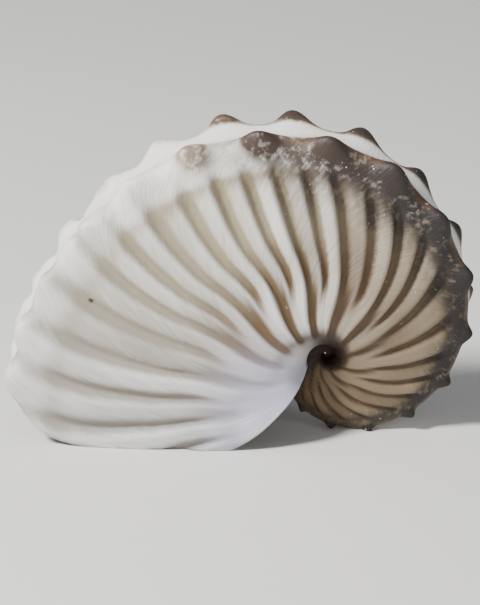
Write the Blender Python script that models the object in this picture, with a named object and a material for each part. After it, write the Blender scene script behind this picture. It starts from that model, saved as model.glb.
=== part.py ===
"""Paper nautilus (argonaut) shell, standing on its mouth.

One thin wall, grown as a flat coil. The keel follows a spiral whose growth eases
off with age, every growth line has the shape of the lip, and two rows of blunt
knobs alternate along the two edges of the keel.

The coil lies in the XZ plane and its axis runs along Y. The mouth opens towards
-X and down, and the lip's lower edge is flush with the surface it stands on. The
origin is in the middle of the bounding box, on that surface.
"""

import math

import bmesh
import bpy
from mathutils import Vector

# The coil, in metres and radians. Angles are counted from +X towards +Z.
KEEL_RADIUS = 0.0224          # from the axis to the keel at angle 0
YOUNG_GROWTH = 0.395          # growth of the radius for each radian at first
OLD_GROWTH = 0.10             # the growth that it settles towards with age
SETTLING_FROM = 0.35          # angle at which it starts to settle
SETTLING_ANGLE = 1.6
LIP_ANGLE = math.radians(184)     # growth angle of the lip
APEX_ANGLE = math.radians(-560)   # growth angle of the first, closed bit of shell
SWELL = 0.032                 # the last half turn is fuller by this much
SWELL_FROM = math.radians(50)
SWELL_RAMP = math.radians(30)
FLARE = 0.034                 # and the keel flares by this much towards the lip
FLARE_FROM = math.radians(150)
FLARE_RAMP = math.radians(33)

# Height of the coil's axis above the surface that the shell stands on.
AXIS_HEIGHT = 0.0133

# The first bit of shell ends in a blunt bulb, this long as a share of its radius.
BULB_LENGTH = 0.8

# Half of the cross-section, from the inner seam out to the middle of the keel:
# distance from the axis and half breadth as shares of the keel's radius, and how
# many degrees that part of a growth line leads the keel around the axis. The last
# point lies beyond the middle and only gives the curve its slope there.
SECTION = (
    (0.060, 0.054, 22.0),
    (0.085, 0.118, 30.0),
    (0.130, 0.176, 36.0),
    (0.210, 0.203, 38.5),
    (0.310, 0.214, 37.5),
    (0.430, 0.217, 33.0),
    (0.600, 0.207, 22.5),
    (0.780, 0.181, 13.5),
    (0.890, 0.158, 7.0),
    (0.965, 0.137, 2.0),
    (0.998, 0.095, 0.0),
    (0.982, 0.000, 0.0),
    (0.998, -0.095, 0.0),
)

# Near the lip the shoulder runs ahead by this much more.
SHOULDER_LEAD = math.radians(2.5)
SHOULDER_REACH = 0.90
SHOULDER_WIDTH = 0.10
SHOULDER_FROM = math.radians(144)
SHOULDER_RAMP = math.radians(40)

# Knobs. Knob number 0 of the near row is at FIRST_KNOB, and the steps between
# knobs shrink with age. The far row sits half a step further on.
FIRST_KNOB = math.radians(-60)
KNOB_STEP = math.radians(25.29)
KNOB_SHRINK = math.radians(0.571)
KNOB_HEIGHT = 0.080           # above the keel, as a share of its radius
KNOB_SPREAD = 0.055           # across the shoulder, as a share of the radius
KNOB_SHOULDER = (0.97, 0.130)     # place of a knob in the cross-section
OLD_KNOB = 1.4                # how pointed the last and the first knobs are
YOUNG_KNOB = 5.0
ROUNDER_FROM = math.radians(-10)
ROUNDER_RAMP = math.radians(60)
LOWER_BY = 0.65               # the last knobs are this much lower
LOWER_FROM = math.radians(105)
LOWER_RAMP = math.radians(60)
LAST_KNOB = math.radians(183)     # the knobs fade out beyond this angle
KNOB_FADE = math.radians(7)
KNOB_OUTWARD = 0.86
KNOB_SIDEWAYS = 0.51

# The wall is thin, and thinner still where the shell was young.
WALL = 0.0007
FULL_WALL_RADIUS = 0.028

# Mesh density.
ROWS_PER_KNOB = 6
ROWS_PER_YOUNG_KNOB = 2
YOUNG_BEFORE = -2             # knob number up to which the coarser rows are used
HALF_COLUMNS = len(SECTION) - 2

SHELL_COLOUR = (0.80, 0.75, 0.66, 1.0)
SHELL_ROUGHNESS = 0.38


def clear_scene():
    for obj in list(bpy.data.objects):
        bpy.data.objects.remove(obj, do_unlink=True)


def smooth_step(value):
    value = min(1.0, max(0.0, value))
    return value * value * (3 - 2 * value)


def curve_through(points, share):
    """The point at a share from 0 to 1 of a smooth curve up to the last point but one."""
    place = share * (len(points) - 2)
    first = min(int(place), len(points) - 3)
    t = place - first
    before = points[max(first - 1, 0)]
    after = points[first + 2]
    start, end = points[first], points[first + 1]
    return tuple(
        0.5 * (2 * b + (c - a) * t + (2 * a - 5 * b + 4 * c - d) * t**2
               + (3 * b - a - 3 * c + d) * t**3)
        for a, b, c, d in zip(before, start, end, after)
    )


def shoulder_lead(growth_angle, reach):
    """How far the shoulder of the keel runs ahead as the shell nears its lip."""
    away = (reach - SHOULDER_REACH) / SHOULDER_WIDTH
    near_lip = smooth_step((growth_angle - SHOULDER_FROM) / SHOULDER_RAMP)
    return SHOULDER_LEAD * near_lip * math.exp(-away * away)


def keel_radius(angle):
    young = min(angle, SETTLING_FROM)
    old = angle - young
    settled = SETTLING_ANGLE * (1 - math.exp(-old / SETTLING_ANGLE))
    growth = YOUNG_GROWTH * (young + settled) + OLD_GROWTH * (old - settled)
    return KEEL_RADIUS * math.exp(growth)


def keel_swell(angle, reach):
    """The fullness and flare of the last half turn, felt most at the keel."""
    swell = SWELL * smooth_step((angle - SWELL_FROM) / SWELL_RAMP)
    flare = FLARE * smooth_step((angle - FLARE_FROM) / FLARE_RAMP)
    return 1 + (swell + flare) * smooth_step((reach - 0.5) / 0.5)


def knob_angle(number):
    return FIRST_KNOB + KNOB_STEP * number - KNOB_SHRINK * number**2


def knob_number(angle):
    inside = KNOB_STEP**2 - 4 * KNOB_SHRINK * (angle - FIRST_KNOB)
    return (KNOB_STEP - math.sqrt(max(inside, 0.0))) / (2 * KNOB_SHRINK)


def knob_rise(angle, reach, breadth, side):
    """How much a knob lifts the wall, as a share of the keel's radius."""
    turn = knob_number(angle) - (0.5 if side > 0 else 0.0)
    rounder = smooth_step((angle - ROUNDER_FROM) / ROUNDER_RAMP)
    sharpness = YOUNG_KNOB + (OLD_KNOB - YOUNG_KNOB) * rounder
    along = (0.5 + 0.5 * math.cos(2 * math.pi * turn)) ** sharpness
    away = math.dist((reach, breadth), KNOB_SHOULDER) / KNOB_SPREAD
    lower = 1 - LOWER_BY * smooth_step((angle - LOWER_FROM) / LOWER_RAMP)
    fade_out = 1 - smooth_step((angle - LAST_KNOB) / KNOB_FADE)
    return KNOB_HEIGHT * along * lower * fade_out * math.exp(-away * away)


def wall_point(growth_angle, share):
    """A point of the outer face. The share runs from the near seam to the far one."""
    side = -1 if share < 0.5 else 1
    reach, breadth, lead = curve_through(SECTION, 1 - abs(2 * share - 1))
    angle = growth_angle + math.radians(lead) + shoulder_lead(growth_angle, reach)
    radius = keel_radius(angle)
    rise = knob_rise(angle, reach, breadth, side)
    out = radius * (reach * keel_swell(angle, reach) + KNOB_OUTWARD * rise)
    across = side * radius * (breadth + KNOB_SIDEWAYS * rise)
    return Vector((out * math.cos(angle), across, out * math.sin(angle)))


def growth_angles():
    """The growth angle of each row: a fixed number of rows between two knobs."""
    numbers = []
    number = knob_number(APEX_ANGLE)
    while knob_angle(number) < LIP_ANGLE - math.radians(1):
        numbers.append(number)
        young = number < YOUNG_BEFORE
        rows = ROWS_PER_YOUNG_KNOB if young else ROWS_PER_KNOB
        number = (math.floor(number * rows + 1e-6) + 1) / rows
    return [knob_angle(number) for number in numbers] + [LIP_ANGLE]


def shell_sheet():
    """The outer face as one sheet, closed at the apex. Returns the mesh and wall shares."""
    angles = growth_angles()
    rows = len(angles) - 1
    columns = 2 * HALF_COLUMNS
    sheet = bmesh.new()
    bmesh.ops.create_grid(sheet, x_segments=rows, y_segments=columns, size=1)
    first_row = {}
    wall_shares = []
    for vert in sheet.verts:
        row = round((vert.co.x + 1) / 2 * rows)
        column = round((vert.co.y + 1) / 2 * columns)
        angle = angles[row]
        vert.co = wall_point(angle, column / columns)
        wall_shares.append(min(1.0, keel_radius(angle) / FULL_WALL_RADIUS))
        if row == 0:
            first_row[column] = vert
    cap = sheet.faces.new([first_row[column] for column in sorted(first_row)])
    bulb = bmesh.ops.poke(sheet, faces=[cap])["verts"][0]
    backwards = Vector((math.sin(APEX_ANGLE), 0, -math.cos(APEX_ANGLE)))
    bulb.co += backwards * BULB_LENGTH * keel_radius(APEX_ANGLE)
    wall_shares.append(wall_shares[0])
    bmesh.ops.recalc_face_normals(sheet, faces=sheet.faces)
    return sheet, wall_shares


def face_outwards(sheet):
    """Turns the faces round if the keel's middle doesn't look away from the axis."""
    highest = max(sheet.verts, key=lambda vert: vert.co.z)
    if highest.normal.z < 0:
        bmesh.ops.reverse_faces(sheet, faces=sheet.faces)


def shell_material():
    material = bpy.data.materials.new("shell_lime")
    material.use_nodes = True
    surface = material.node_tree.nodes["Principled BSDF"]
    surface.inputs["Base Color"].default_value = SHELL_COLOUR
    surface.inputs["Roughness"].default_value = SHELL_ROUGHNESS
    surface.inputs["Metallic"].default_value = 0.0
    return material


def ground_cutter():
    """A slab below the shell, which trims the lip flush with the ground."""
    depth = 0.010
    slab = bmesh.new()
    bmesh.ops.create_cube(slab, size=1)
    bmesh.ops.scale(slab, vec=(0.2, 0.1, depth), verts=slab.verts)
    bmesh.ops.translate(slab, vec=(0, 0, -depth / 2), verts=slab.verts)
    mesh = bpy.data.meshes.new("ground_cutter")
    slab.to_mesh(mesh)
    slab.free()
    cutter = bpy.data.objects.new("ground_cutter", mesh)
    cutter.hide_render = True
    cutter.display_type = "WIRE"
    bpy.context.scene.collection.objects.link(cutter)
    return cutter


def build_shell():
    sheet, wall_shares = shell_sheet()
    face_outwards(sheet)
    xs = [vert.co.x for vert in sheet.verts]
    centre_x = (min(xs) + max(xs)) / 2
    bmesh.ops.translate(sheet, vec=(-centre_x, 0, AXIS_HEIGHT), verts=sheet.verts)
    mesh = bpy.data.meshes.new("shell")
    sheet.to_mesh(mesh)
    sheet.free()
    mesh.shade_smooth()
    mesh.materials.append(shell_material())
    shell = bpy.data.objects.new("shell", mesh)
    bpy.context.scene.collection.objects.link(shell)

    thickness = shell.vertex_groups.new(name="wall")
    for index, share in enumerate(wall_shares):
        thickness.add([index], share, "REPLACE")
    wall = shell.modifiers.new("wall", "SOLIDIFY")
    wall.thickness = WALL
    wall.offset = -1
    wall.vertex_group = thickness.name
    trim = shell.modifiers.new("lip_trim", "BOOLEAN")
    trim.operation = "DIFFERENCE"
    trim.solver = "EXACT"
    trim.object = ground_cutter()
    print("coil axis at x =", round(-centre_x * 1000, 3), "mm")


def main():
    clear_scene()
    build_shell()


main()
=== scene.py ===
# %% [markdown]
# # A paper nautilus shell
#
# A paper nautilus is the egg case of an argonaut, a small octopus. The animal lays it
# down with two of its arms, a little more lime along the lip each day, so the whole
# shell is one thin wall with no chambers. Everything on it follows from that growth:
# the coil, the ribs that fan out of the hub, the two rows of knobs along the keel and
# the fine lines that copy the shape of the lip.
#
# The script rebuilds the growth in steps: the coil, the ribs, the wall, the finish, and
# then a plain studio. The frame from the CAD model fixes the size and the place.

# %% The frame
import math

import bmesh
import bpy
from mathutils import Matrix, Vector, noise


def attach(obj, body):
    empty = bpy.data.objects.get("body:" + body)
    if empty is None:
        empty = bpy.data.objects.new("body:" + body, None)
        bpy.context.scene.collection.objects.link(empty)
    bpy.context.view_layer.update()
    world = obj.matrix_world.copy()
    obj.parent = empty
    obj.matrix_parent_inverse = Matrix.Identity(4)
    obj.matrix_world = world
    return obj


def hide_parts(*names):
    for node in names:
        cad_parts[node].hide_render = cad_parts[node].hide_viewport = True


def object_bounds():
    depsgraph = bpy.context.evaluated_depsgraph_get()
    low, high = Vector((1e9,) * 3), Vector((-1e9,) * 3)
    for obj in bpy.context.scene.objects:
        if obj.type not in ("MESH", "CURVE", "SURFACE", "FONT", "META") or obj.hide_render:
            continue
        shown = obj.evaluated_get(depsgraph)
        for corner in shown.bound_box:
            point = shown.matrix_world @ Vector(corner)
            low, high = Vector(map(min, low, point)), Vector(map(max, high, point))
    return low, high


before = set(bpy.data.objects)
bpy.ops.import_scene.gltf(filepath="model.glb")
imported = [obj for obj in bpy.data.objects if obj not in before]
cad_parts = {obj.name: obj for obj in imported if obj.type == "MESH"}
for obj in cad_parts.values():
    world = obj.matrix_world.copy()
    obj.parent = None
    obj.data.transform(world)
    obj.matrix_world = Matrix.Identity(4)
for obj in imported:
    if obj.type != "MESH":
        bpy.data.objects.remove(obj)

cad_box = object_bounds()
(low_x, low_y, low_z), (high_x, high_y, high_z) = cad_box
length, breadth, height = high_x - low_x, high_y - low_y, high_z - low_z
print("length, breadth, height in mm:", [round(size * 1000, 1) for size in (length, breadth, height)])

# %% [markdown]
# ## The coil
#
# A shell that grows by the same share in each turn makes a logarithmic spiral. This one
# eases off as it gets older, so its rate of growth falls with the angle. A cross-section
# of the tube keeps its shape while it grows: narrow at the hub, widest a little under half way
# out, and nearly square at the keel. The section could be swept along the spiral as a
# curve with a bevel, but the lip isn't a flat cut across the tube: near the hub it runs
# far ahead of the keel. So each part of the section carries its own lead, and a row of
# the mesh is then one growth line, with the shape of the lip.

# %% The growth of the coil
UNIT = length / 80.1                 # just under a millimetre, to stay inside the solid
KEEL_RADIUS = 22.4 * UNIT            # from the axis to the keel at angle 0
YOUNG_GROWTH, OLD_GROWTH = 0.395, 0.10
SETTLING_FROM, SETTLING_ANGLE = 0.35, 1.6
LIP_ANGLE = math.radians(184)
APEX_ANGLE = math.radians(-560)
# The last half turn is fuller at the keel, and flares towards the lip.
SWELL, SWELL_FROM, SWELL_RAMP = 0.032, math.radians(50), math.radians(30)
FLARE, FLARE_FROM, FLARE_RAMP = 0.034, math.radians(150), math.radians(33)


def smooth_step(value):
    value = min(1.0, max(0.0, value))
    return value * value * (3 - 2 * value)


def keel_radius(angle):
    young = min(angle, SETTLING_FROM)
    old = angle - young
    settled = SETTLING_ANGLE * (1 - math.exp(-old / SETTLING_ANGLE))
    growth = YOUNG_GROWTH * (young + settled) + OLD_GROWTH * (old - settled)
    return KEEL_RADIUS * math.exp(growth)


def keel_swell(angle, reach):
    swell = SWELL * smooth_step((angle - SWELL_FROM) / SWELL_RAMP)
    flare = FLARE * smooth_step((angle - FLARE_FROM) / FLARE_RAMP)
    return 1 + (swell + flare) * smooth_step((reach - 0.5) / 0.5)


for degrees in (-360, -180, 0, 180):
    print("keel radius at", degrees, "degrees:", round(keel_radius(math.radians(degrees)) * 1000, 1), "mm")

# %% [markdown]
# The section is a smooth curve through a few points. Each has a reach from the axis and a
# half breadth, both as shares of the keel's radius, and a lead in degrees. The curve is
# then read at equal steps of its own length, so that the mesh has even faces.

# %% The cross-section
SECTION = (
    (0.060, 0.054, 22.0),
    (0.085, 0.118, 30.0),
    (0.130, 0.176, 36.0),
    (0.210, 0.203, 38.5),
    (0.310, 0.214, 37.5),
    (0.430, 0.217, 33.0),
    (0.600, 0.207, 22.5),
    (0.780, 0.181, 13.5),
    (0.890, 0.158, 7.0),
    (0.965, 0.137, 2.0),
    (0.998, 0.095, 0.0),
    (0.982, 0.000, 0.0),
    (0.998, -0.095, 0.0),            # beyond the middle, for the slope there
)
HALF_COLUMNS = 62


def curve_through(points, share):
    """The point at a share from 0 to 1 of a smooth curve up to the last point but one."""
    place = min(max(share, 0.0), 1.0) * (len(points) - 2)
    first = min(int(place), len(points) - 3)
    t = place - first
    before = points[max(first - 1, 0)]
    start, end, after = points[first], points[first + 1], points[first + 2]
    return tuple(
        0.5 * (2 * b + (c - a) * t + (2 * a - 5 * b + 4 * c - d) * t**2
               + (3 * b - a - 3 * c + d) * t**3)
        for a, b, c, d in zip(before, start, end, after)
    )


def even_section(steps, fineness=400):
    """The half section at equal steps of its length, from the seam to mid keel."""
    curve = [curve_through(SECTION, number / fineness) for number in range(fineness + 1)]
    lengths = [0.0]
    for here, there in zip(curve, curve[1:]):
        lengths.append(lengths[-1] + math.dist(here[:2], there[:2]))
    result = []
    place = 0
    for step in range(steps + 1):
        wanted = lengths[-1] * step / steps
        while place < fineness - 1 and lengths[place + 1] < wanted:
            place += 1
        share = (wanted - lengths[place]) / (lengths[place + 1] - lengths[place])
        result.append(tuple(a + (b - a) * share for a, b in zip(curve[place], curve[place + 1])))
    return result


half_section = even_section(HALF_COLUMNS)
print("points across half of the section:", len(half_section))

# %% [markdown]
# ## The knobs
#
# The knobs stand in two rows, one along each shoulder of the keel, and take turns: a knob
# on one side faces a gap on the other. They come at shrinking angles because the animal
# makes them at even distances along an ever longer keel.

# %% Knobs along the keel
FIRST_KNOB = math.radians(-60)
KNOB_STEP = math.radians(25.29)
KNOB_SHRINK = math.radians(0.571)
KNOB_HEIGHT = 0.081
KNOB_SPREAD = 0.055
KNOB_SHOULDER = (0.97, 0.130)
OLD_KNOB, YOUNG_KNOB = 1.4, 5.0      # how pointed the knobs are
ROUNDER_FROM, ROUNDER_RAMP = math.radians(-10), math.radians(60)
# Knobs are rounder with age, and the last ones are lower too.
LOWER_FROM, LOWER_RAMP, LOWER_BY = math.radians(105), math.radians(60), 0.65
KNOB_OUTWARD, KNOB_SIDEWAYS = 0.86, 0.51
LAST_KNOB, KNOB_FADE = math.radians(183), math.radians(7)


def knob_number(angle):
    inside = KNOB_STEP**2 - 4 * KNOB_SHRINK * (angle - FIRST_KNOB)
    return (KNOB_STEP - math.sqrt(max(inside, 0.0))) / (2 * KNOB_SHRINK)


def knob_share(angle, reach, half_breadth, side):
    """1 on the tip of a knob, falling to 0 around it."""
    turn = knob_number(angle) - (0.5 if side > 0 else 0.0)
    rounder = smooth_step((angle - ROUNDER_FROM) / ROUNDER_RAMP)
    sharpness = YOUNG_KNOB + (OLD_KNOB - YOUNG_KNOB) * rounder
    along = (0.5 + 0.5 * math.cos(2 * math.pi * turn)) ** sharpness
    away = math.dist((reach, half_breadth), KNOB_SHOULDER) / KNOB_SPREAD
    lower = 1 - LOWER_BY * smooth_step((angle - LOWER_FROM) / LOWER_RAMP)
    fade_out = 1 - smooth_step((angle - LAST_KNOB) / KNOB_FADE)
    return along * lower * fade_out * math.exp(-away * away)


print("knobs in one row:", math.floor(knob_number(LIP_ANGLE)) - math.ceil(knob_number(APEX_ANGLE)) + 1)

# %% [markdown]
# ## The ribs
#
# Rounded ribs fan out over the flanks. Long ones reach into the hub, and a shorter one
# starts half way out between each pair. A wave texture could fake them, but they are
# folds of the wall and show on its inside too, so they are part of the shape. The long
# ribs are listed by the angle at which they cross the middle of the flank. Their sweep
# says how far a rib turns around the axis on its way from the hub to the keel: the young
# ones lean forwards, the last ones bend back from the hub in a hook.

# %% Ribs over the flanks
LONG_RIBS = (-69, -31, 1, 36, 60, 86, 106, 125, 144, 161, 181, 200)
YOUNG_RIB_STEP = 40
OLD_RIB_STEP = 19
# Each row has an angle, then the turn in degrees at reach 0, 0.2 and so on to 1, and one
# more beyond the keel for the slope there.
SWEEPS = (
    (-60, (-45, -30, -11, 0, 14, 26, 38)),
    (0, (-22, -13, -4, 0, 4.5, 9, 13)),
    (60, (3, 0, -3.5, 0, 7, 14, 21)),
    (125, (20, 10, -0.5, 0, -2, -5, -8)),
    (190, (36, 21, 5, 0, -4, -10, -16)),
)
RIB_HEIGHT = 0.072                   # as a share of the distance from the axis
RIB_LEAN = 0.30                      # steep on the young side, gentle on the old one


def rib_sweep(angle, reach):
    """How far, in degrees, the rib at this angle has turned at this reach."""
    pairs = list(zip(SWEEPS, SWEEPS[1:]))
    for (low, young), (high, old) in pairs:
        if angle <= high:
            break
    share = min(1.0, max(0.0, (angle - low) / (high - low)))
    points = [(a + (b - a) * share,) for a, b in zip(young, old)]
    return curve_through(points, reach)[0]


def rib_number(degrees):
    """A whole number on each long rib, counted at mid flank."""
    if degrees < LONG_RIBS[0]:
        return (degrees - LONG_RIBS[0]) / YOUNG_RIB_STEP
    for number, (low, high) in enumerate(zip(LONG_RIBS, LONG_RIBS[1:])):
        if degrees < high:
            return number + (degrees - low) / (high - low)
    return len(LONG_RIBS) - 1 + (degrees - LONG_RIBS[-1]) / OLD_RIB_STEP


def rib_place(angle, reach):
    """The rib number at a point of the flank, following the sweep back to mid flank."""
    degrees = math.degrees(angle)
    middle = degrees - rib_sweep(degrees, reach)
    for _ in range(3):
        middle = degrees - rib_sweep(middle, reach)
    return rib_number(middle)


def crest_width(angle):
    """The power that shapes a crest: low for broad young ribs, high for narrow ones."""
    degrees = math.degrees(angle)
    narrowing = smooth_step((degrees - 15) / 45)
    widening = smooth_step((degrees - 115) / 60)
    return 0.75 + 1.45 * narrowing - 1.0 * widening


def fold(place, power):
    """A rounded fold: 1 at whole numbers, falling gently and rising steeply."""
    share = place - math.floor(place)
    leaning = share - RIB_LEAN * math.sin(math.pi * share) ** 2
    return (0.5 + 0.5 * math.cos(2 * math.pi * leaning)) ** power


def rib_crest(place, reach, power):
    """1 along the crest of a rib and 0 in the trough beside it."""
    short_share = smooth_step((reach - 0.26) / 0.22)
    nearest = round(2 * place)
    wobble = 0.86 + 0.3 * noise.noise(Vector((nearest * 1.37, reach * 2.5, 3.1)))
    if nearest % 2:
        wobble -= 0.12
    long_fold = fold(place, power)
    each_fold = fold(2 * place, power) * wobble
    return long_fold + (each_fold - long_fold) * short_share


def rib_fade(angle, reach):
    """Where ribs are full, and where they die out: the hub, the shoulder, the inner lip."""
    degrees = math.degrees(angle)
    from_hub = smooth_step((reach - 0.09) / 0.12)
    grown = smooth_step((degrees - 125) / 30)
    to_keel = 1 - (1 - 0.45 * grown) * smooth_step((reach - 0.80) / 0.13)
    inner_lip = 1 - smooth_step((degrees - 185) / 30) * (1 - smooth_step((reach - 0.22) / 0.2))
    return from_hub * to_keel * inner_lip * (1 - 0.3 * grown)


print("long ribs on the last turn:", len(LONG_RIBS))

# %% [markdown]
# ## The sheet
#
# The outer face is one grid: a row for each growth line and a column for each point of
# the section. The grid operator makes it flat, with plain coordinates, and each vertex
# is then moved to its place on the coil. The rows stand close together on the last turn,
# which shows, and further apart inside. Each vertex also keeps a few numbers for the
# finish, such as how far around and how far out it lies.

# %% The rows and the numbers that each vertex keeps
FINE_FROM = math.radians(-130)
FINE_ROWS, YOUNG_ROWS = 300, 60
growth_angles = [APEX_ANGLE + (FINE_FROM - APEX_ANGLE) * row / YOUNG_ROWS for row in range(YOUNG_ROWS)]
growth_angles += [FINE_FROM + (LIP_ANGLE - FINE_FROM) * row / FINE_ROWS for row in range(FINE_ROWS + 1)]
SHOULDER_LEAD, SHOULDER_REACH, SHOULDER_WIDTH = math.radians(2.5), 0.90, 0.10
SHOULDER_FROM, SHOULDER_RAMP = math.radians(144), math.radians(40)
KEPT = ("age", "turn", "reach", "rib", "ribbed", "knob", "across", "inside")


def lead_of(growth_angle, reach, lead):
    """How far ahead of the keel this part of the growth line lies."""
    away = (reach - SHOULDER_REACH) / SHOULDER_WIDTH
    near_lip = smooth_step((growth_angle - SHOULDER_FROM) / SHOULDER_RAMP)
    return math.radians(lead) + SHOULDER_LEAD * near_lip * math.exp(-away * away)


def coil_point(growth_angle, column):
    """The place on the smooth coil with its knobs, and the numbers for the finish."""
    side = -1 if column < HALF_COLUMNS else 1
    reach, half_breadth, lead = half_section[HALF_COLUMNS - abs(column - HALF_COLUMNS)]
    angle = growth_angle + lead_of(growth_angle, reach, lead)
    radius = keel_radius(angle)
    knob = knob_share(angle, reach, half_breadth, side)
    out = radius * (reach * keel_swell(angle, reach) + KNOB_OUTWARD * KNOB_HEIGHT * knob)
    across = side * radius * (half_breadth + KNOB_SIDEWAYS * KNOB_HEIGHT * knob)
    point = Vector((out * math.cos(angle), across, out * math.sin(angle)))
    ribbed = rib_fade(angle, reach)
    rib = rib_crest(rib_place(angle, reach), reach, crest_width(angle)) * ribbed
    numbers = (growth_angle, angle, reach, rib, ribbed, knob, side * half_breadth, 0.0)
    return point, numbers


print("rows:", len(growth_angles), "columns:", 2 * HALF_COLUMNS + 1)

# %% [markdown]
# The grid's far end, at the first bit of shell, would be an open hole in the middle of the
# coil. It could be left, but it shows through the mouth's hub. So one face closes it, and
# poking that face out to a point makes the blunt bulb that a young shell starts from.

# %% The sheet itself
AXIS_HEIGHT = 13.3 * UNIT
BULB_LENGTH = 0.8
rows, columns = len(growth_angles) - 1, 2 * HALF_COLUMNS


def outer_sheet():
    sheet = bmesh.new()
    layers = [sheet.verts.layers.float.new(name) for name in KEPT]
    bmesh.ops.create_grid(sheet, x_segments=rows, y_segments=columns, size=1)
    first_row = {}
    for vert in sheet.verts:
        row = round((vert.co.x + 1) / 2 * rows)
        column = round((vert.co.y + 1) / 2 * columns)
        vert.co, numbers = coil_point(growth_angles[row], column)
        for layer, number in zip(layers, numbers):
            vert[layer] = number
        if row == 0:
            first_row[column] = vert
    cap = sheet.faces.new([first_row[column] for column in sorted(first_row)])
    bulb = bmesh.ops.poke(sheet, faces=[cap])["verts"][0]
    backwards = Vector((math.sin(APEX_ANGLE), 0, -math.cos(APEX_ANGLE)))
    bulb.co += backwards * BULB_LENGTH * keel_radius(APEX_ANGLE)
    bmesh.ops.recalc_face_normals(sheet, faces=sheet.faces)
    highest = max(sheet.verts, key=lambda vert: vert.co.z)
    if highest.normal.z < 0:
        bmesh.ops.reverse_faces(sheet, faces=sheet.faces)
    return sheet


sheet = outer_sheet()
print("faces of the outer sheet:", len(sheet.faces))

# %% [markdown]
# Now the relief. Ribs and a slow unevenness push each vertex along its own normal, which
# works the same on the flank, the hub and the keel.

# %% Relief on the sheet
WAVE_HEIGHT = 0.0035
WAVE_SIZE = 9 * UNIT


def raise_relief(sheet):
    layer = dict(zip(KEPT, (sheet.verts.layers.float[name] for name in KEPT)))
    sheet.normal_update()
    moves = []
    for vert in sheet.verts:
        radius = keel_radius(vert[layer["turn"]])
        from_axis = radius * vert[layer["reach"]]
        wave = noise.noise(vert.co / WAVE_SIZE) * WAVE_HEIGHT * radius
        rib = RIB_HEIGHT * from_axis * (vert[layer["rib"]] - 0.6 * vert[layer["ribbed"]])
        moves.append((vert, vert.normal * (rib * (1 - vert[layer["knob"]]) + wave)))
    for vert, move in moves:
        vert.co += move


raise_relief(sheet)
xs = [vert.co.x for vert in sheet.verts]
centre_x = (min(xs) + max(xs)) / 2
shift = ((low_x + high_x) / 2 - centre_x, (low_y + high_y) / 2, low_z + AXIS_HEIGHT)
bmesh.ops.translate(sheet, vec=shift, verts=sheet.verts)
print("coil axis at", [round(value * 1000, 2) for value in shift], "mm")

# %% [markdown]
# ## The wall
#
# The solidify operator gives the sheet its thickness and closes the rim. It makes the
# wall equally thick everywhere, which is too much for the tiny first whorls, so each
# inner vertex is drawn back towards its outer twin there. The lip's lower edge and the
# lowest knobs stand on the ground, so the wall is cut flush at that level.

# %% Thickness, and the flush lower edge
WALL = 0.45 * UNIT
FULL_WALL_RADIUS = 26 * UNIT
THINNEST = 0.06


def give_thickness(sheet):
    """Makes the wall, thins it where the shell was young and marks its inner face."""
    twin = sheet.verts.layers.int.new("twin")
    for number, vert in enumerate(sheet.verts):
        vert[twin] = number
    outer = list(sheet.verts)
    outer_places = [vert.co.copy() for vert in outer]
    bmesh.ops.solidify(sheet, geom=list(sheet.faces), thickness=WALL)
    inside = sheet.verts.layers.float["inside"]
    turn = sheet.verts.layers.float["turn"]
    known = set(outer)
    for vert in sheet.verts:
        if vert in known:
            continue
        start = outer_places[vert[twin]]
        share = max(THINNEST, min(1.0, keel_radius(vert[turn]) / FULL_WALL_RADIUS))
        vert.co = start + (vert.co - start) * share
        vert[inside] = 1.0


def cut_at_ground(sheet, ground):
    """Cuts the lip flush with the ground, and presses the coil's lowest knobs flat."""
    lip_end = (low_x + high_x) / 2
    lip = [face for face in sheet.faces if max(vert.co.x for vert in face.verts) < lip_end]
    lip_parts = {part for face in lip for part in (face, *face.edges, *face.verts)}
    cut = bmesh.ops.bisect_plane(sheet, geom=list(lip_parts), plane_co=(0, 0, ground),
                                 plane_no=(0, 0, 1), clear_inner=True)
    rim = [part for part in cut["geom_cut"] if isinstance(part, bmesh.types.BMEdge)]
    bmesh.ops.holes_fill(sheet, edges=rim, sides=0)
    inside = sheet.verts.layers.float["inside"]
    for vert in sheet.verts:
        if vert.co.x > lip_end:
            vert.co.z = max(vert.co.z, ground + vert[inside] * WALL)


give_thickness(sheet)
cut_at_ground(sheet, low_z)
print("wall", round(WALL * 1000, 2), "mm thick,", len(sheet.faces), "faces")

# %% [markdown]
# The mesh becomes one object, smooth-shaded, at the origin and unscaled. It rides on the
# part's only body and takes the place of the plain solid. Counting the edges that don't
# have two faces shows at once whether the wall is closed.

# %% The finished shell
def finished_object(sheet, name):
    mesh = bpy.data.meshes.new(name)
    sheet.to_mesh(mesh)
    sheet.free()
    mesh.shade_smooth()
    piece = bpy.data.objects.new(name, mesh)
    bpy.context.scene.collection.objects.link(piece)
    return piece


open_edges = sum(1 for edge in sheet.edges if not edge.is_manifold)
shell = finished_object(sheet, "nautilus_shell")
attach(shell, "root")
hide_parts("shell")
print("open edges:", open_edges, " triangles:", sum(len(face.vertices) - 2 for face in shell.data.polygons))
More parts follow.
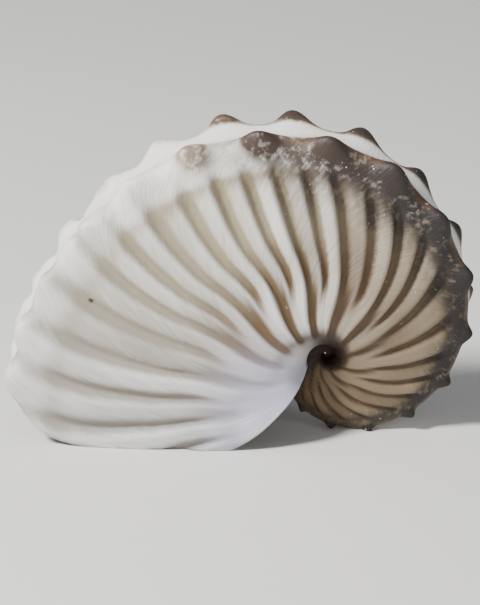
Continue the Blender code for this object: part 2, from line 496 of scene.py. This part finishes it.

# %% [markdown]
# ## The finish
#
# The lime is white and a little translucent. A smoky brown film lies on the older half of
# the keel and its knobs, the troughs between ribs are tan, the hub is dark with its own
# brown and painted shade, and the inner lip has a lavender sheen. Painting that by hand
# would tie it to one mesh, so the colours are worked out from the numbers kept on each
# vertex. A small class turns Python sums into math nodes, which keeps those sums readable.

# %% A wrapper that turns sums into nodes
class Wire:
    """A shader socket that can be added, multiplied and compared like a number."""

    def __init__(self, finish, socket):
        self.finish, self.socket = finish, socket

    def sum_with(self, operation, first, second):
        return self.finish.add("ShaderNodeMath", {"operation": operation}, {0: first, 1: second})

    def __add__(self, other):
        return self.sum_with("ADD", self, other)

    def __radd__(self, other):
        return self.sum_with("ADD", other, self)

    def __sub__(self, other):
        return self.sum_with("SUBTRACT", self, other)

    def __rsub__(self, other):
        return self.sum_with("SUBTRACT", other, self)

    def __mul__(self, other):
        return self.sum_with("MULTIPLY", self, other)

    def __rmul__(self, other):
        return self.sum_with("MULTIPLY", other, self)

    def __truediv__(self, other):
        return self.sum_with("DIVIDE", self, other)

    def __pow__(self, other):
        return self.sum_with("POWER", self, other)


class Finish:
    """A material that is built one node at a time."""

    def __init__(self, name):
        self.material = bpy.data.materials.new(name)
        self.material.use_nodes = True
        self.tree = self.material.node_tree
        self.surface = self.tree.nodes["Principled BSDF"]

    def add(self, kind, settings=None, inputs=None, output=0):
        """Adds a node: its settings first, then the values or links of its sockets."""
        node = self.tree.nodes.new(kind)
        for name, setting in (settings or {}).items():
            if name == "stops":
                self.set_stops(node.color_ramp, setting)
            else:
                setattr(node, name, setting)
        for name, value in (inputs or {}).items():
            self.feed(node.inputs[name], value)
        return Wire(self, node.outputs[output])

    def set_stops(self, ramp, stops):
        while len(ramp.elements) < len(stops):
            ramp.elements.new(1.0)
        for element, (position, tint) in zip(ramp.elements, stops):
            element.position = position
            element.color = tint

    def feed(self, socket, value):
        if isinstance(value, Wire):
            self.tree.links.new(value.socket, socket)
        else:
            socket.default_value = value

    def kept(self, name):
        """A number that was kept on each vertex."""
        return self.add("ShaderNodeAttribute", {"attribute_name": name}, output="Fac")

    def step(self, value, low, high):
        """0 below low, 1 above high and smooth between them."""
        return self.add("ShaderNodeMapRange", {"interpolation_type": "SMOOTHSTEP"},
                        {"Value": value, "From Min": low, "From Max": high})

    def blend(self, first, second, share):
        """From the first colour to the second."""
        return self.add("ShaderNodeMix", {"data_type": "RGBA"},
                        {"Factor": share, 6: first, 7: second}, output=2)

    def noise(self, place, scale, detail=3.0, roughness=0.55, distortion=0.0):
        return self.add("ShaderNodeTexNoise", {},
                        {"Vector": place, "Scale": scale, "Detail": detail,
                         "Roughness": roughness, "Distortion": distortion}, output="Fac")


def colour(red, green, blue):
    """A screen colour, 0 to 255, as the light that it stands for."""
    shares = [channel / 255 for channel in (red, green, blue)]
    linear = [c / 12.92 if c <= 0.04045 else ((c + 0.055) / 1.055) ** 2.4 for c in shares]
    return (*linear, 1.0)


print("mid tan:", [round(channel, 3) for channel in colour(160, 140, 115)])

# %% [markdown]
# The lime goes on in layers, from the wall outwards, the way a painter would glaze it.
# First come the rib crests and the troughs. Each has a ramp of colour that runs with the
# angle around the coil, from the young, tan part to the white lip.

# %% Crests and troughs
lime = Finish("shell_lime")
age, turn, reach = lime.kept("age"), lime.kept("turn"), lime.kept("reach")
rib, knob, across = lime.kept("rib"), lime.kept("knob"), lime.kept("across")
inside, ribbed = lime.kept("inside"), lime.kept("ribbed")
place = lime.add("ShaderNodeTexCoord", output="Object")

RAMP_FROM, RAMP_TO = -110, 230       # the ramps run between these angles, in degrees


def along_turn(*stops):
    """A ramp of colours by the angle around the coil, in degrees."""
    share = (turn - math.radians(RAMP_FROM)) / math.radians(RAMP_TO - RAMP_FROM)
    spread = [((degrees - RAMP_FROM) / (RAMP_TO - RAMP_FROM), tint) for degrees, tint in stops]
    return lime.add("ShaderNodeValToRGB", {"stops": spread}, {0: share})


growth_place = lime.add("ShaderNodeCombineXYZ", {}, {0: age * 26, 1: across * 14, 2: reach * 3})
streaks = lime.noise(growth_place, 2.2, detail=4, roughness=0.6)
clouds = lime.noise(place, 140 / UNIT / 1000, detail=3)
mottle = lime.noise(place, 620 / UNIT / 1000, detail=4, roughness=0.65)

crest_colour = along_turn((-110, colour(112, 92, 62)), (-45, colour(140, 122, 94)),
                          (30, colour(154, 138, 114)), (72, colour(194, 182, 162)),
                          (102, colour(246, 242, 233)), (215, colour(240, 241, 244)))
outer_trough = along_turn((-110, colour(96, 74, 46)), (0, colour(108, 88, 62)),
                          (55, colour(116, 98, 74)), (92, colour(150, 135, 110)),
                          (125, colour(164, 152, 126)), (215, colour(144, 140, 134)))
inner_trough = along_turn((-110, colour(76, 52, 26)), (30, colour(90, 68, 42)),
                          (100, colour(100, 76, 46)), (155, colour(112, 88, 58)),
                          (185, colour(136, 124, 114)), (215, colour(172, 170, 180)))
old_part = 1 - lime.step(turn, math.radians(60), math.radians(190))
brown_edge = 0.40 + old_part * 0.25
in_hub_zone = 1 - lime.step(reach + (clouds - 0.5) * 0.25, brown_edge - 0.16, brown_edge + 0.12)
trough_colour = lime.blend(outer_trough, inner_trough, in_hub_zone)
bare = 1 - lime.step(ribbed, 0.05, 0.60)      # where no ribs are, the wall is crest-coloured
crest_share = lime.step(rib + bare * 0.8 + (streaks - 0.5) * 0.3, 0.16, 1.0)
wall_colour = lime.blend(trough_colour, crest_colour, crest_share)

# %% [markdown]
# Next the smoky film. It is thickest on the shoulders and knobs of the older keel, thins
# out over the flank, and is broken up by clouds and scratches where it has worn through,
# then dotted with tiny white flecks that are painted glints of light. The band of the keel
# between the two rows of knobs stays white.

# %% Film on the keel's shoulders
old_keel = lime.step(turn, math.radians(-75), math.radians(-20)) * 0.35 + 0.65
until_white = 1 - lime.step(turn + (clouds - 0.5) * 0.5, math.radians(86), math.radians(136))
shoulder = lime.step(reach + (mottle - 0.5) * 0.16 + (clouds - 0.5) * 0.30 - rib * 0.12,
                     0.52, 0.92)
film = shoulder * until_white * old_keel
knob_film = lime.step(knob, 0.10, 0.5) * (1 - lime.step(turn, math.radians(120), math.radians(139)))
keel_band = lime.step(reach, 0.955, 0.985) * (1 - lime.step(across * across, 0.0042, 0.0088))
band_edge = lime.step(reach, 0.955, 0.985) * lime.step(across * across, 0.0030, 0.0080)
film_share = (film + knob_film * 0.55) * (1 - keel_band * (1 - lime.step(knob, 0.15, 0.5)))
worn = lime.step(mottle + streaks * 0.35, 0.62, 0.86)
film_share = film_share * (1 - worn * 0.45)
film_colour = along_turn((-110, colour(30, 20, 13)), (0, colour(24, 17, 15)),
                         (60, colour(40, 33, 31)), (110, colour(74, 58, 48)),
                         (140, colour(176, 140, 98)))
filmed = lime.blend(wall_colour, film_colour, lime.step(film_share, 0.0, 1.0))
banded = lime.blend(filmed, colour(240, 236, 228), keel_band * (1 - lime.step(knob, 0.1, 0.45)))
tan_edge = band_edge * until_white * (1 - keel_band) * (1 - lime.step(knob, 0.2, 0.6))
edged = lime.blend(banded, colour(146, 112, 78), tan_edge * 0.25)

# %% [markdown]
# The hub is a deep pit, dark red-brown: partly the lime's own brown and partly painted
# shade, which also darkens the first turns seen inside it. The inner lip beside it is
# lavender. A small accident makes the shell this one: a dark speck on the near flank. The
# tiny white flecks on the film are painted glints of light.

# %% The hub's brown and painted shade, the inner lip and the painted glints
# The hub and first-turn masks mark the deep pit: its own brown and painted shade together.
hub_edge = 0.18 + (clouds - 0.5) * 0.06
hub = (1 - lime.step(reach, hub_edge - 0.05, hub_edge + 0.03)) * (1 - lime.step(turn, 1.6, 3.2))
first_turns = 1 - lime.step(turn, math.radians(-150), math.radians(-105))
# The pit and the first turns are blended to dark red-brown: partly own colour, partly painted shade.
hub_brown_and_shade = 1 - (1 - hub * 0.95) * (1 - first_turns * (1 - inside) * 0.9)
hub_browned_and_shaded = lime.blend(edged, colour(40, 18, 10), hub_brown_and_shade)
lip_zone = lime.step(turn, math.radians(140), math.radians(200)) * (1 - lime.step(reach, 0.18, 0.5))
sheened = lime.blend(hub_browned_and_shaded, colour(186, 184, 208), lip_zone * 0.75)

SPECK_ANGLE, SPECK_REACH = math.radians(163), 0.835
near_side = 1 - lime.step(across, -0.02, 0.0)
speck_away = ((turn - SPECK_ANGLE) ** 2 + (reach - SPECK_REACH) ** 2 * 1.6) ** 0.5
speck = (1 - lime.step(speck_away + (mottle - 0.5) * 0.04, 0.004, 0.016)) * near_side
specked = lime.blend(sheened, colour(70, 46, 26), speck)

# Tiny white dots, strongest on the film: painted glints of light.
fine_cells = lime.add("ShaderNodeTexVoronoi", {}, {"Vector": place, "Scale": 900 / UNIT / 1000},
                      output="Distance")
painted_glint = (1 - lime.step(fine_cells, 0.06, 0.15)) * lime.step(clouds, 0.50, 0.62)
glinted = lime.blend(specked, colour(248, 246, 240), painted_glint * (0.25 + film_share * 0.6))
dusk = lime.blend(glinted, colour(228, 222, 212), inside * 0.7)

# %% [markdown]
# Bump adds what is too fine for the mesh: growth lines along the rows and a faint
# grain. The gloss is satin, rougher where the film has dried on. A little light passes
# into the thin lime before it comes back, which softens the shading.

# %% Gloss, growth lines and depth
line_place = lime.add("ShaderNodeCombineXYZ", {}, {0: age * 90, 1: across * 9, 2: reach * 4})
lines = lime.noise(line_place, 2.0, detail=5, roughness=0.6)
relief = lines * 0.6 + streaks * 0.8 + mottle * 0.35
bump = lime.add("ShaderNodeBump", {}, {"Strength": 0.5, "Distance": 0.35 * UNIT, "Height": relief},
                output="Normal")
lime.feed(lime.surface.inputs["Base Color"], dusk)
lime.feed(lime.surface.inputs["Roughness"], 0.34 + mottle * 0.14 + film_share * 0.08)
lime.feed(lime.surface.inputs["Normal"], bump)
lime.feed(lime.surface.inputs["Subsurface Weight"], 0.12)
lime.feed(lime.surface.inputs["Subsurface Radius"], (1.0, 0.75, 0.5))
lime.feed(lime.surface.inputs["Subsurface Scale"], 0.9 * UNIT)
lime.feed(lime.surface.inputs["IOR"], 1.5)
shell.data.materials.append(lime.material)
print("nodes in the finish:", len(lime.tree.nodes))

# %% [markdown]
# ## The studio
#
# A pale floor, one large soft light above and in front to the left, a weaker one on the
# right and a pale sky. The camera looks along the shell's breadth from a little above,
# through a long lens, so that the coil isn't distorted.

# %% Floor and lights
def floor_plane():
    floor = bmesh.new()
    bmesh.ops.create_grid(floor, x_segments=1, y_segments=1, size=30 * length)
    bmesh.ops.translate(floor, vec=(0, 0, low_z), verts=floor.verts)
    piece = finished_object(floor, "studio_floor")
    plain = Finish("floor_paper")
    plain.feed(plain.surface.inputs["Base Color"], colour(226, 224, 220))
    plain.feed(plain.surface.inputs["Roughness"], 0.8)
    piece.data.materials.append(plain.material)
    return piece


def soft_light(name, place, size, power):
    lamp = bpy.data.lights.new(name, "AREA")
    lamp.shape, lamp.size, lamp.energy = "DISK", size, power
    piece = bpy.data.objects.new(name, lamp)
    piece.location = place
    aim = Vector((0, 0, high_z / 2)) - piece.location
    piece.rotation_euler = aim.to_track_quat("-Z", "Y").to_euler()
    bpy.context.scene.collection.objects.link(piece)


floor_plane()
soft_light("key", (-5.5 * length, -3.2 * length, 6.5 * length), 2.2 * length, 10.6)
soft_light("fill", (6 * length, -6 * length, 3.5 * length), 4.0 * length, 0.6)
world = bpy.data.worlds.new("pale_sky")
world.use_nodes = True
world.node_tree.nodes["Background"].inputs["Color"].default_value = (0.86, 0.89, 0.94, 1)
world.node_tree.nodes["Background"].inputs["Strength"].default_value = 0.32
bpy.context.scene.world = world

# %% [markdown]
# The camera could stand close with a short lens, but that would swell the near flank. A
# long lens from eight lengths away keeps the coil's true outline. It aims a little below
# the shell's middle and looks down only slightly, so both rows of knobs can be seen.

# %% The camera
ELEVATION = math.radians(19)
PICTURE = (480, 605)
SENSOR = 36.0
FILLS_WIDTH = 0.9729                 # the shell's length as a share of the picture's width
AIM_HEIGHT = 0.388                   # where the camera aims, as a share of the height
view_width = length / FILLS_WIDTH
view_height = view_width * PICTURE[1] / PICTURE[0]
distance = 8 * length
target = Vector(((low_x + high_x) / 2, 0, low_z))
target += Vector((0, math.sin(ELEVATION), math.cos(ELEVATION))) * height * AIM_HEIGHT
backwards = Vector((0, -math.cos(ELEVATION), math.sin(ELEVATION)))
lens = bpy.data.cameras.new("camera")
lens.sensor_width = SENSOR
lens.lens = SENSOR * distance / view_height
camera = bpy.data.objects.new("camera", lens)
camera.location = target + backwards * distance
camera.rotation_euler = (math.pi / 2 - ELEVATION, 0, 0)
bpy.context.scene.collection.objects.link(camera)
bpy.context.scene.camera = camera
print("lens", round(lens.lens), "mm at", round(distance, 3), "m")
